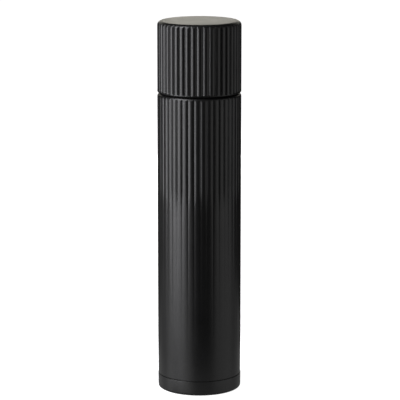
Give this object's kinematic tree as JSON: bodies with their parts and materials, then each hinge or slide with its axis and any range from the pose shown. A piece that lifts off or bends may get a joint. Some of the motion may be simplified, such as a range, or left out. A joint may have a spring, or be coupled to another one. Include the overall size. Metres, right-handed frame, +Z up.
{
  "type": "vacuum flask",
  "caption": "Slim vertical-ribbed vacuum flask with a screw-on ribbed cup over a push-button pouring stopper.",
  "frame": {"origin": "centre of the face that the flask stands on", "axes": "+Z up along the flask's own axis; +X towards the stopper's pouring window; -Y towards the viewer of the front"},
  "size_m": [0.063, 0.063, 0.2815],
  "materials": {
    "black_paint": "satin black powder coat with a very fine grain",
    "black_moulding": "moulded plastic coated to match the body",
    "black_plastic": "fine moulded texture",
    "grey_plastic": "satin moulded plastic",
    "bare_steel": "electropolished stainless steel with turned lines",
    "spring_steel": "drawn stainless wire",
    "black_silicone": "matt silicone",
    "pale_silicone": "translucent food-grade silicone",
    "foil": "bright wrinkled foil",
    "foam": "closed-cell foam",
    "getter_metal": "dull sintered metal",
    "glass_bead": "melted sealing glass"
  },
  "bodies": {
    "flask": {"outer_shell": "black_paint", "inner_bottle": "bare_steel", "inner_bottom": "bare_steel", "reflective_foil": "foil", "getter_capsule": "getter_metal", "vacuum_bottom": "bare_steel", "vacuum_seal": "glass_bead", "base_cup": "black_paint", "base_pad": "black_silicone", "neck_collar": "black_plastic"},
    "stopper_seal": {"stopper_gasket": "pale_silicone"},
    "stopper": {"stopper_body": "black_plastic", "insulating_core": "foam", "flow_tube": "grey_plastic", "stem_guide": "grey_plastic", "stopper_cover": "black_plastic", "button_spring": "spring_steel"},
    "button": {"push_button": "grey_plastic", "button_seal": "pale_silicone", "valve_stem": "grey_plastic", "valve_seal": "pale_silicone", "valve_disc": "grey_plastic", "stem_nut": "grey_plastic"},
    "cup_seal": {"cup_gasket": "black_silicone"},
    "cup": {"cup_shell": "black_moulding", "cup_liner": "bare_steel", "cup_thread_ring": "black_plastic"}
  },
  "joints": [
    {"name": "stopper_rise", "type": "slide", "parent": "flask", "child": "stopper_seal", "axis": [0, 0, 1], "range_m": [0, 0.042]},
    {"name": "stopper_turn", "type": "hinge", "parent": "stopper_seal", "child": "stopper", "pos_m": [0, 0, 0.24], "axis": [0, 0, 1], "range_deg": [0, 2520]},
    {"name": "button_press", "type": "slide", "parent": "stopper", "child": "button", "axis": [0, 0, -1], "range_m": [0, 0.0035], "stiffness_N_per_m": 900, "springref_m": -0.004, "deforming": ["button_spring"]},
    {"name": "cup_rise", "type": "slide", "parent": "stopper", "child": "cup_seal", "axis": [0, 0, 1], "range_m": [0, 0.048]},
    {"name": "cup_turn", "type": "hinge", "parent": "cup_seal", "child": "cup", "pos_m": [0, 0, 0.25], "axis": [0, 0, 1], "range_deg": [0, 2880]}
  ],
  "couplings": [
    {"joint": "stopper_turn", "follows": "stopper_rise", "rad_per_m": 1047.2},
    {"joint": "cup_turn", "follows": "cup_rise", "rad_per_m": 1047.2}
  ]
}
